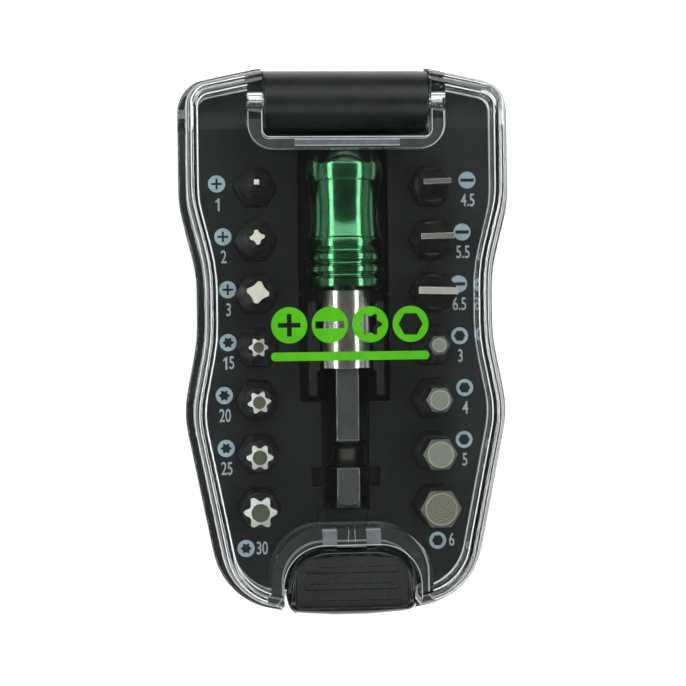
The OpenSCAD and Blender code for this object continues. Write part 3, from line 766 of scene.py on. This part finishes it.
def make_latch():
    """The button: a frame with a D-shaped thumb face set into it, crossed by three moulded bars."""
    half, top = latch_high.x, latch_high.z
    front = latch_low.y
    back = -33.9 * MM
    under = RIM_Z + 0.5 * MM
    corners = [(-half, front + 1.5 * MM, 1.5 * MM), (0, front + 0.03 * MM, 60 * MM),
               (half, front + 1.5 * MM, 1.5 * MM), (half - 1.2 * MM, back, 6.5 * MM),
               (-half + 1.2 * MM, back, 6.5 * MM)]
    rim = even(rounded(corners), 0.25 * MM)
    core_y, core_x = -40.4 * MM, 6.2 * MM
    rows = 72
    face_half, face_back, face_front = 9.35 * MM, -34.8 * MM, -43.5 * MM
    face = rounded([(-face_half, face_front, 1.2 * MM), (face_half, face_front, 1.2 * MM),
                    (face_half - 0.2 * MM, face_back - 0.5 * MM, 2.6 * MM), (0, face_back, 40 * MM),
                    (-face_half + 0.2 * MM, face_back - 0.5 * MM, 2.6 * MM)])

    bars_y, bar_half = (-37.2 * MM, -39.95 * MM, -42.7 * MM), 7.3 * MM

    def inside_face(x, y):
        """How deep a point is inside the thumb face: negative outside it."""
        d = distance((x, y), face)
        crossings = 0
        for a, b in zip(face, face[1:] + face[:1]):
            if (a.y > y) != (b.y > y) and x < a.x + (y - a.y) * (b.x - a.x) / (b.y - a.y):
                crossings += 1
        return d if crossings % 2 else -d

    def height(x, y, depth):
        """The button's top at a point, depth being how far the point is from the edge."""
        z = top
        roll = y - (front + 3.4 * MM)
        if roll < 0:
            z -= 4.6 * MM * (1 - sqrt(max(0, 1 - min(1, -roll / (3.42 * MM)) ** 2)))
        elif y > back - 3 * MM:
            z -= 0.25 * MM * ((y - back + 3 * MM) / (3 * MM)) ** 2
        r = 0.7 * MM
        if depth < r:
            z -= r - sqrt(max(0, r * r - (r - depth) ** 2))
        inside = inside_face(x, y)
        z -= step_up(inside, -0.12 * MM, 0.18 * MM) * 0.3 * MM
        if inside > -0.5 * MM:
            for bar_y in bars_y:
                away = math.hypot(max(0, abs(x) - bar_half), y - bar_y) - 0.5 * MM
                z += 0.2 * MM * (1 - step_up(away, -0.1 * MM, 0.06 * MM))
        return z

    rings = []
    for k in range(rows + 1):
        s = 1 - (k / rows) ** 0.9
        ring = []
        for p in rim:
            core = Vector((max(-core_x, min(core_x, p.x)), core_y))
            q = core.lerp(p, s)
            ring.append((q.x, q.y, height(q.x, q.y, (1 - s) * (p - core).length)))
        rings.append(ring)
    button = loft("latch_cap", [[(p.x, p.y, under) for p in rim]] + rings, smooth_angle=50)
    pin = Vector(joint["latch_rock"]["pos_m"])
    foot_r = pin.z - latch_low.z
    wide = half - 1.3 * MM
    stem = rounded_box("stem", (-wide, pin.y - foot_r, pin.z),
                       (wide, pin.y + foot_r, under + 1 * MM), 0.25 * MM)
    cut = 0.3 * MM
    side = [(-wide, 0.4 * MM), (-wide, foot_r - cut), (-wide + cut, foot_r), (wide - cut, foot_r),
            (wide, foot_r - cut), (wide, 0.4 * MM)]
    foot = revolve("foot", side, "X", pin, 64)
    boolean(stem, "UNION", foot)
    boolean(stem, "DIFFERENCE", box_mesh("slot", (-3.2 * MM, -OUTSIDE, 4 * MM),
                                         (3.2 * MM, -40 * MM, pin.z + 2.6 * MM)))
    hooks = [rounded_box("hook", (s * HOOK_X - 0.9 * MM, back - 1 * MM, 26.6 * MM),
                         (s * HOOK_X + 0.9 * MM, back + 0.35 * MM, 28.4 * MM), 0.12 * MM) for s in (-1, 1)]
    cap = join("latch_thumb", [button, stem] + hooks)
    give(cap, "latch", BUTTON)
    cap.data.materials.append(GLOSS)
    for f in cap.data.polygons:
        grained = f.center.z > top - 1 * MM and inside_face(f.center.x, f.center.y) > -0.02 * MM
        f.material_index = 0 if grained else 1
    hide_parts("latch_button")


def step_up(v, low, high):
    t = max(0.0, min(1.0, (v - low) / (high - low)))
    return t * t * (3 - 2 * t)


# ---------------------------------------------------------------- holder
def make_sleeve():
    """The anodised sleeve, turned from its outline: (distance from the back end, radius)."""
    r = (sleeve_high.x - sleeve_low.x) / 2
    length = sleeve_high.y - sleeve_low.y
    axis = Vector((0, sleeve_low.y, (sleeve_low.z + sleeve_high.z) / 2))
    bore, mouth = 4.85 * MM, 5.05 * MM
    back_r = 0.75 * MM
    side = [(0, bore), (0, r - back_r)]
    side += [(back_r * sin(a), r - back_r * (1 - cos(pi / 2 - a))) for a in quarter(10)]
    groove_half, groove_deep = 0.62, 0.34 * MM
    for middle in (2.6, 4.6, 6.7):
        for k in range(17):
            t = -1 + k / 8
            dip = groove_deep * max(0, cos(pi * (abs(t) - 0.55) / 0.9)) if abs(t) < 1 else 0
            side.append(((middle + groove_half * t) * MM, r - dip))
    # The waist: a step down, then a hollow that is narrowest a little behind its middle
    step = 0.22 * MM
    side += [(8.55 * MM, r), (8.75 * MM, r - 0.05 * MM), (8.95 * MM, r - step)]
    waist_l, waist_deep, narrowest = 9.3 * MM, 0.45 * MM, 0.45
    for k in range(25):
        off = k / 24 - narrowest
        t = off / (narrowest if off < 0 else 1 - narrowest)
        side.append((9 * MM + waist_l * k / 24, r - step - waist_deep * (1 - t ** 2)))
    nose_l = 2.8 * MM
    side += [(18.42 * MM, r - 0.08 * MM), (18.6 * MM, r), (length - nose_l - 0.24 * MM, r),
             (length - nose_l - 0.16 * MM, r - 0.006 * MM), (length - nose_l - 0.08 * MM, r - 0.022 * MM)]
    nose = []
    for k in range(11):
        drop = 0.05 + 1.1 * k / 10 + 0.2 * max(0, k / 2 - 4) ** 2
        nose.append((length - nose_l * (1 - k / 10), r - drop * MM))
    land = (ball_low.y + ball_high.y) / 2 - sleeve_low.y
    side += nose + [(length, mouth), (land + 3 * MM, mouth), (land + 2.8 * MM, bore), (land, bore),
                    (land - 2.4 * MM, bore + 0.576 * MM),
                    (stop_high.y - sleeve_low.y + 0.1 * MM, SPRING_ROOM),
                    (2.7 * MM, SPRING_ROOM), (2.7 * MM, bore)]
    sleeve = revolve("sleeve_green", side + [side[0]], "Y", axis, 160, 16)
    give(sleeve, "sleeve", ANODISED)
    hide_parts("holder_sleeve")


def make_spring():
    """The holder's coil spring, wound inside the box of the imported one."""
    low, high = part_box("holder_spring")
    wire, turns, steps, sides = 0.27 * MM, 5.5, 220, 12
    axis_z = (low.z + high.z) / 2
    coil_r = (high.x - low.x) / 2 - wire
    rings = []
    for k in range(steps + 1):
        a = 2 * pi * turns * k / steps
        y = low.y + wire + (high.y - low.y - 2 * wire) * k / steps
        ring = []
        for i in range(sides):
            b = 2 * pi * i / sides
            out = coil_r + wire * cos(b)
            ring.append((out * cos(a), y + wire * sin(b), axis_z + out * sin(a)))
        rings.append(ring)
    spring = give(loft("spring_coil", rings), "case", WIRE)
    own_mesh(spring)
    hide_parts("holder_spring")


# ---------------------------------------------------------------- bits
OXIDE = (0.03, 0.029, 0.027)


def make_cross_bit(name, shoulder_r, end_r, web, arm, spin):
    """A cross-head bit.

    At the tip, web is how far the round flutes stay from the axis, and arm is half an arm's width.
    """
    low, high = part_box(name)
    x, y = (low.x + high.x) / 2, (low.y + high.y) / 2
    tip_z = high.z
    af = high.y - low.y
    hex_end = low.z + 15.6 * MM
    tip_l, neck_l = 5.4 * MM, 2.4 * MM
    lean = math.asin(arm / end_r)
    along, across = end_r * cos(pi / 4 - lean), end_r * sin(pi / 4 - lean)
    centre = (along ** 2 + across ** 2 - web ** 2) / (2 * (along - web))
    flute_r = centre - web

    def reach(angle, z):
        flat = (angle % (pi / 3)) - pi / 6
        r = af / 2 / cos(flat)
        r = min(r, 3.0 * MM + (z - low.z) * 1.0, 3.66 * MM)
        if z > hex_end:
            r = min(r, max(shoulder_r, 3.75 * MM - (z - hex_end) * (3.75 * MM - shoulder_r) / neck_l))
        down = tip_z - z
        if down < tip_l:
            r = min(r, end_r + down * (shoulder_r - end_r) / tip_l)
            out = centre + down * tan(radians(24))
            off = abs(((angle - spin) % (pi / 2)) - pi / 4)
            if out * sin(off) < flute_r:
                r = min(r, out * cos(off) - sqrt(flute_r ** 2 - (out * sin(off)) ** 2))
        return r

    levels = [low.z + d * MM for d in (0, 0.2, 0.5, 0.7, 8, 15)]
    levels += [hex_end + d * MM for d in (0, 0.3, 0.6, 0.9, 1.2, 1.5, 1.8, 2.1, 2.4)]
    tip_levels = [tip_z - tip_l * (1 - k / 26) for k in range(27)]
    levels += [z for z in tip_levels if z > hex_end + neck_l]
    sides = 240
    rings = []
    for z in levels:
        ring = []
        for k in range(sides):
            a = 2 * pi * k / sides
            r = reach(a, z)
            ring.append((x + r * cos(a), y + r * sin(a), z))
        rings.append(ring)
    bit = loft(name + "_steel", rings, smooth_angle=24)
    finish = bit_finish("steel_" + name, x, y, tip_z, 5 * MM, (0.46, 0.44, 0.37), OXIDE)
    give(bit, "case", finish)
    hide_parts(name)


def make_cross_bits():
    make_cross_bit("bit_ph1", 2.4 * MM, 0.52 * MM, 0.4 * MM, 0.12 * MM, radians(45))
    make_cross_bit("bit_ph2", 2.9 * MM, 1.2 * MM, 0.8 * MM, 0.27 * MM, radians(8))
    make_cross_bit("bit_ph3", 3.0 * MM, 1.8 * MM, 1.3 * MM, 0.34 * MM, radians(-11))


def dress_bits():
    ground = (0.5, 0.49, 0.465)
    grey, blasted, cone = (0.072, 0.074, 0.055), (0.165, 0.165, 0.138), (0.1, 0.1, 0.09)
    looks = {}
    for name, size in (("bit_t15", 3.27), ("bit_t20", 3.86), ("bit_t25", 4.43), ("bit_t30", 5.52)):
        looks[name] = (0.2775 * size + 0.05, grey, ground, False)
    for name, size, bare in (("bit_slot45", 4.5, 0.09), ("bit_slot55", 5.5, 0.12), ("bit_slot65", 6.5, 0.26)):
        looks[name] = (size, (bare, bare * 0.97, bare * 0.86), OXIDE, False)
    for name, size in (("bit_hex3", 3), ("bit_hex4", 4), ("bit_hex5", 5), ("bit_hex6", 6)):
        looks[name] = (size / 2 - 0.36, blasted, cone, size == 6)
    for name, (end_r, face, flank, rings) in looks.items():
        low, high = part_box(name)
        finish_node(name, bit_finish("steel_" + name, (low.x + high.x) / 2, (low.y + high.y) / 2, high.z,
                                     end_r * MM, face, flank, rings))


# ---------------------------------------------------------------- printing
def disc_outline(r):
    sides = 48
    return [Vector((r * cos(2 * pi * k / sides), r * sin(2 * pi * k / sides))) for k in range(sides)]


def plus_outline(half, w):
    return [Vector(p) for p in ((w, w), (w, half), (-w, half), (-w, w), (-half, w), (-half, -w), (-w, -w),
                                (-w, -half), (w, -half), (w, -w), (half, -w), (half, w))]


def bar_outline(half, w):
    return [Vector(p) for p in ((half, -w), (half, w), (-half, w), (-half, -w))]


def hexagon(r):
    return [Vector((r * cos(pi * k / 3), r * sin(pi * k / 3))) for k in range(6)]


def star_outline(r):
    out = []
    for k in range(60):
        a = 2 * pi * k / 60
        reach = r * (0.68 + 0.32 * ((1 + cos(6 * a)) / 2) ** 1.3)
        out.append(Vector((reach * cos(a), reach * sin(a))))
    return out


def stamp(name, outer, hole, x, y, z, thick):
    """A thin solid of ink: an outline with a hole of another shape."""
    curve = bpy.data.curves.new(name, "CURVE")
    curve.dimensions = "2D"
    curve.fill_mode = "BOTH"
    curve.extrude = thick / 2
    for points in (outer, hole):
        if points:
            spline = curve.splines.new("POLY")
            spline.points.add(len(points) - 1)
            for p, q in zip(spline.points, points):
                p.co = (q.x, q.y, 0, 1)
            spline.use_cyclic_u = True
    return flat_print(name, curve, x, y, z + thick / 2)


def flat_print(name, data, x, y, z, scale=(1, 1)):
    obj = linked(name, data)
    bpy.context.view_layer.update()
    mesh = bpy.data.meshes.new_from_object(obj.evaluated_get(bpy.context.evaluated_depsgraph_get()))
    bpy.data.objects.remove(obj)
    out = linked(name, mesh)
    mesh.transform(Matrix.Translation((x, y, z)) @ Matrix.Diagonal((scale[0], scale[1], 1, 1)))
    return out


def digits(text, x, y, z, height, thick):
    """A number set in the plain built-in face, but for the one, which gets its flag."""
    if text[0] == "1":
        one = [Vector(p) * height for p in ((0.02, -0.5), (0.17, -0.5), (0.17, 0.5), (0.06, 0.5),
                                            (-0.04, 0.36), (-0.16, 0.29), (-0.16, 0.16), (0.02, 0.24))]
        rest = text[1:]
        first = stamp("one", one, None, x - (0.3 * height if rest else 0), y, z, thick)
        if not rest:
            return first
        return join("digits", [first, digits(rest, x + 0.22 * height, y, z, height, thick)])
    data = bpy.data.curves.new("digits", "FONT")
    data.body = text
    data.size = height / 0.7
    data.align_x = "CENTER"
    data.align_y = "CENTER"
    data.extrude = thick / 2
    data.offset = 0.00003
    return flat_print("digits", data, x, y, z + thick / 2, (0.66, 1))


def symbol(kind, r):
    """(outer outline, hole) of a drive's mark in a disc of radius r."""
    holes = {
        "cross": plus_outline(0.62 * r, 0.13 * r),
        "slot": bar_outline(0.8 * r, 0.2 * r),
        "star": star_outline(0.66 * r),
        "hexagon": hexagon(0.68 * r),
    }
    return disc_outline(r), holes[kind]


def print_tray():
    z, thick = TRAY_Z + 0.005 * MM, 0.03 * MM
    r, tall = 1.45 * MM, 2.15 * MM
    aside = [x * MM for x in (21.3, 20.35, 19.65, 19.7, 20.45, 20.25)]
    left = [("cross", "1"), ("cross", "2"), ("cross", "3"), ("star", "15"), ("star", "20"), ("star", "25")]
    right = [("slot", "4.5"), ("slot", "5.5"), ("slot", "6.5"),
             ("hexagon", "3"), ("hexagon", "4"), ("hexagon", "5")]
    parts, numbers = [], []
    for side, marks, first, pitch in ((-1, left, 27.0 * MM, 8.93 * MM), (1, right, 27.4 * MM, 8.84 * MM)):
        for i, (kind, text) in enumerate(marks):
            x, y = side * aside[i], first - i * pitch
            parts.append(stamp("mark", *symbol(kind, r), x, y, z, thick))
            numbers.append(digits(text, x + 0.1 * MM, y - 3.5 * MM, z, tall, thick))
    parts.append(stamp("mark", *symbol("star", r), -17.1 * MM, -34.6 * MM, z, thick))
    numbers.append(digits("30", -14.4 * MM, -34.7 * MM, z, tall, thick))
    parts.append(stamp("mark", *symbol("hexagon", r), 15.5 * MM, -33.9 * MM, z, thick))
    numbers.append(digits("6", 17.9 * MM, -33.9 * MM, z, tall, thick))
    give(join("tray_marks", parts), "case", MARKS)
    give(join("tray_numbers", numbers), "case", DIGITS)


def print_lid():
    """A plain row of the four drive shapes in the case, in green, over a line."""
    z, thick = LID_TOP - 0.005 * MM, 0.04 * MM
    r = 2.95 * MM
    y, pitch = 2.9 * MM, 6.6 * MM
    parts = []
    for i, kind in enumerate(("cross", "slot", "star", "hexagon")):
        parts.append(stamp("drive", *symbol(kind, r), (i - 1.5) * pitch, y, z, thick))
    line = rounded([(-12.9 * MM, -2.9 * MM, 0.6 * MM), (12.9 * MM, -2.9 * MM, 0.6 * MM),
                    (12.9 * MM, -1.5 * MM, 0.6 * MM), (-12.9 * MM, -1.5 * MM, 0.6 * MM)])
    parts.append(stamp("line", line, None, 0, 0, z, thick))
    give(join("lid_mark", parts), "lid", GREEN_INK)


# ---------------------------------------------------------------- light, floor and camera
def make_floor():
    bm = bmesh.new()
    bmesh.ops.create_grid(bm, x_segments=2, y_segments=2, size=3)
    floor = new_object("floor", bm)
    floor.location.z = -0.0002
    n = Nodes("pale_floor")
    cloud = n.noise(6, 3)
    n.set(Base_Color=n.mix(cloud, (0.86, 0.86, 0.86), (0.9, 0.9, 0.9)), Roughness=0.9, Specular_IOR_Level=0.1,
          Emission_Color=(1, 1, 1, 1), Emission_Strength=0.3)
    floor.data.materials.append(n.material)


def softbox(name, where, size, power):
    """A flat rectangular light turned to the middle of the case."""
    data = bpy.data.lights.new(name, "AREA")
    data.shape = "RECTANGLE"
    data.size, data.size_y = size
    data.energy = power
    obj = linked(name, data)
    obj.location = where
    direction = (Vector((0, 0, 0.02)) - Vector(where)).normalized()
    z = -direction
    y = Vector((0, 1, 0))
    x = y.cross(z).normalized()
    y = z.cross(x)
    obj.rotation_euler = Matrix((x, y, z)).transposed().to_euler()


def make_lights():
    strip_far, far = 0.55, 0.6
    for s in (-1, 1):
        a = radians(43)
        softbox("strip", (s * strip_far * sin(a), 0, strip_far * cos(a)), (0.11, 1.1), 2.8)
        softbox("wing", (s * 0.9, 0.1, 0.28), (0.5, 1.2), 0.3)
        softbox("ends", (0, s * 0.95, 0.4), (1.2, 0.5), 0.35)
    for name, tilt, size, power in (("over", 34, (0.85, 0.36), 2.8), ("low", -28, (0.85, 0.2), 1.2)):
        a = radians(tilt)
        softbox(name, (0, far * sin(a), far * cos(a)), size, power)
    world = bpy.data.worlds.new("studio")
    world.use_nodes = True
    world.node_tree.nodes["Background"].inputs[0].default_value = (1, 1, 1, 1)
    world.node_tree.nodes["Background"].inputs[1].default_value = 0.05
    bpy.context.scene.world = world


def make_camera():
    data = bpy.data.cameras.new("camera")
    data.sensor_width = 36
    data.lens = 92.6
    data.clip_start = 0.01
    camera = linked("camera", data)
    target = Vector((-0.0002, -0.0001, TRAY_Z))
    lean, roll = radians(4.35), radians(0.73)
    back = Vector((-sin(lean), 0.0014, cos(lean))).normalized()
    up = Vector((sin(roll), cos(roll), 0))
    right = up.cross(back).normalized()
    up = back.cross(right)
    camera.location = target + back * 0.3
    camera.rotation_euler = Matrix((right, up, back)).transposed().to_euler()
    bpy.context.scene.camera = camera


def main():
    make_base()
    make_lid()
    make_latch()
    make_sleeve()
    make_spring()
    make_cross_bits()
    dress_bits()
    finish_node("tray_insert", TRAY)
    finish_node("holder_body", TURNED)
    for name in ("hinge_pin", "latch_pin", "holder_washer", "holder_stop_ring", "holder_ball"):
        finish_node(name, BRIGHT)
    finish_node("latch_spring", WIRE)
    finish_node("holder_magnet", MAGNET)
    print_tray()
    print_lid()
    make_floor()
    make_lights()
    make_camera()
    scene = bpy.context.scene
    scene.view_settings.view_transform = "Standard"
    scene.cycles.max_bounces = 16
    scene.cycles.transmission_bounces = 14
    scene.cycles.transparent_max_bounces = 16
    scene.cycles.caustics_refractive = False
    scene.cycles.caustics_reflective = False


main()
